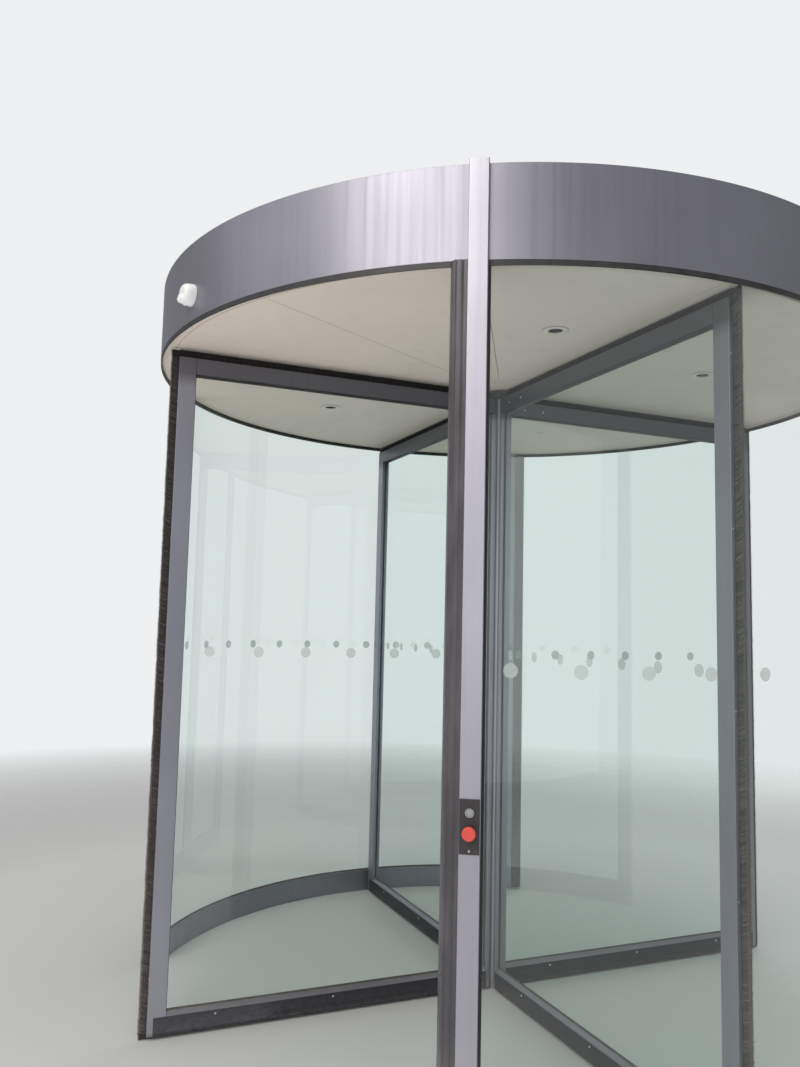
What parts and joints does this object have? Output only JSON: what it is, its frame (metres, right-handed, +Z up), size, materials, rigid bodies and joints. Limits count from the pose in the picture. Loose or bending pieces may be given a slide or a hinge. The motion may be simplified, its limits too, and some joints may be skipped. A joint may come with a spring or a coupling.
{
  "type": "revolving door",
  "caption": "Revolving door with a glass drum, a round canopy and crossed glazed wings that turn about a centre column.",
  "frame": {"origin": "the turning axis at floor level, under the centre column", "axes": "+Z up along the turning axis; the outer entrance faces -Y and the inner one +Y; the curved walls stand at +X and -X"},
  "size_m": [2.792, 2.884, 2.683],
  "materials": {
    "frame_paint": "satin",
    "canopy_paint": "satin",
    "ceiling_paint": "matt",
    "glass": "clear",
    "black_rubber": "matt",
    "brush_pile": "pile",
    "white_plastic": "gloss",
    "stop_red": "satin",
    "dark_plate": "satin",
    "steel": "satin",
    "roof_sheet": "matt"
  },
  "bodies": {
    "drum": {"base_rail_right": "frame_paint", "base_rail_left": "frame_paint", "wall_glass_right": "glass", "wall_glass_left": "glass", "post_front_right": "frame_paint", "post_back_right": "frame_paint", "post_back_left": "frame_paint", "post_front_left": "frame_paint", "safety_edges": "black_rubber", "control_plate_front": "dark_plate", "control_plate_back": "dark_plate", "canopy_ring": "roof_sheet", "fascia_front": "canopy_paint", "fascia_right": "canopy_paint", "fascia_back": "canopy_paint", "fascia_left": "canopy_paint", "canopy_seal": "black_rubber", "canopy_roof": "roof_sheet", "ceiling_panels": "ceiling_paint", "ceiling_centre": "ceiling_paint", "downlights": "white_plastic", "sensor_outside": "white_plastic", "sensor_inside": "white_plastic", "floor_bearing": "steel", "top_bearing": "steel"},
    "rotor": {"centre_column": "frame_paint", "hub_collar": "black_rubber", "wing_1_frame": "frame_paint", "wing_1_glass": "glass", "wing_1_brushes": "brush_pile", "wing_2_frame": "frame_paint", "wing_2_glass": "glass", "wing_2_brushes": "brush_pile", "wing_3_frame": "frame_paint", "wing_3_glass": "glass", "wing_3_brushes": "brush_pile", "wing_4_frame": "frame_paint", "wing_4_glass": "glass", "wing_4_brushes": "brush_pile"},
    "front_stop": {"stop_button_front": "stop_red"},
    "back_stop": {"stop_button_back": "stop_red"}
  },
  "joints": [
    {"name": "rotor_turn", "type": "hinge", "parent": "drum", "child": "rotor", "pos_m": [0, 0, 0], "axis": [0, 0, 1], "continuous": true},
    {"name": "front_stop_push", "type": "slide", "parent": "drum", "child": "front_stop", "axis": [-0.7034, 0.7108, 0], "range_m": [0, 0.004]},
    {"name": "back_stop_push", "type": "slide", "parent": "drum", "child": "back_stop", "axis": [0.7034, -0.7108, 0], "range_m": [0, 0.004]}
  ]
}
